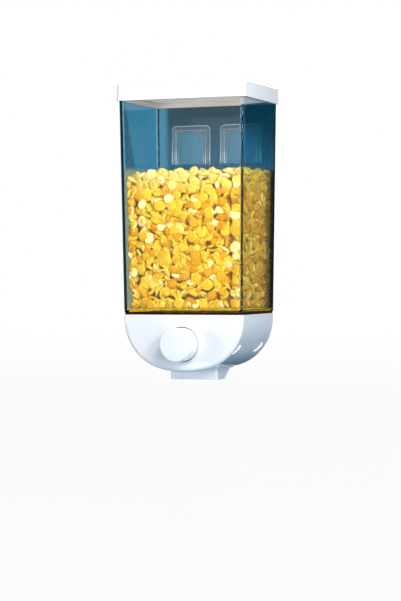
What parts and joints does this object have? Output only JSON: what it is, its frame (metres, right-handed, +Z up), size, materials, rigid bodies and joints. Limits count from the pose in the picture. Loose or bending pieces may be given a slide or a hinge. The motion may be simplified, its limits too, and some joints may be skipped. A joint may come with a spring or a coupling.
{
  "type": "dry food dispenser",
  "caption": "Wall-hung dry food dispenser: tapered clear tank with lift-off lid on a round-bottomed base whose push button slides a gate over a short outlet chute.",
  "frame": {"origin": "on the wall, midway between the two adhesive pads", "axes": "+Z up, +Y into the wall, X across the front; the front with its button faces -Y"},
  "size_m": [0.1214, 0.11, 0.2613],
  "materials": {
    "clear_tank": "clear, tinted deep teal blue at the back and sides",
    "white_plastic": "satin gloss white",
    "clear_plastic": "clear",
    "dark_rubber": "dark",
    "pale_rubber": "translucent pale",
    "steel": "plain",
    "adhesive_foam": "foam tape"
  },
  "bodies": {
    "wall_mount": {"wall_plate_left": "clear_plastic", "wall_plate_right": "clear_plastic", "adhesive_pad_left": "adhesive_foam", "adhesive_pad_right": "adhesive_foam"},
    "dispenser": {"tank": "clear_tank", "tank_gasket": "dark_rubber", "base_housing": "white_plastic", "button_collar": "white_plastic", "wall_bumpers": "pale_rubber", "hopper": "white_plastic", "outlet_chute": "white_plastic", "gate_rail_left": "white_plastic", "gate_rail_right": "white_plastic", "frame_screws": "steel", "return_spring_left": "steel", "return_spring_right": "steel", "hanger_rail_left": "clear_plastic", "hanger_rail_right": "clear_plastic"},
    "lid": {"lid": "white_plastic", "lid_seal": "pale_rubber"},
    "press": {"push_button": "white_plastic", "shuttle_gate": "white_plastic", "button_screw": "steel"}
  },
  "joints": [
    {"name": "dispenser_lift", "type": "slide", "parent": "wall_mount", "child": "dispenser", "axis": [0, 0, 1], "range_m": [0, 0.036]},
    {"name": "lid_lift", "type": "slide", "parent": "dispenser", "child": "lid", "axis": [0, 0, 1], "range_m": [0, 0.06]},
    {"name": "button_press", "type": "slide", "parent": "dispenser", "child": "press", "axis": [0, 1, 0], "range_m": [0, 0.013], "stiffness_N_per_m": 260, "springref_m": -0.007, "deforming": ["return_spring_left", "return_spring_right"]}
  ]
}
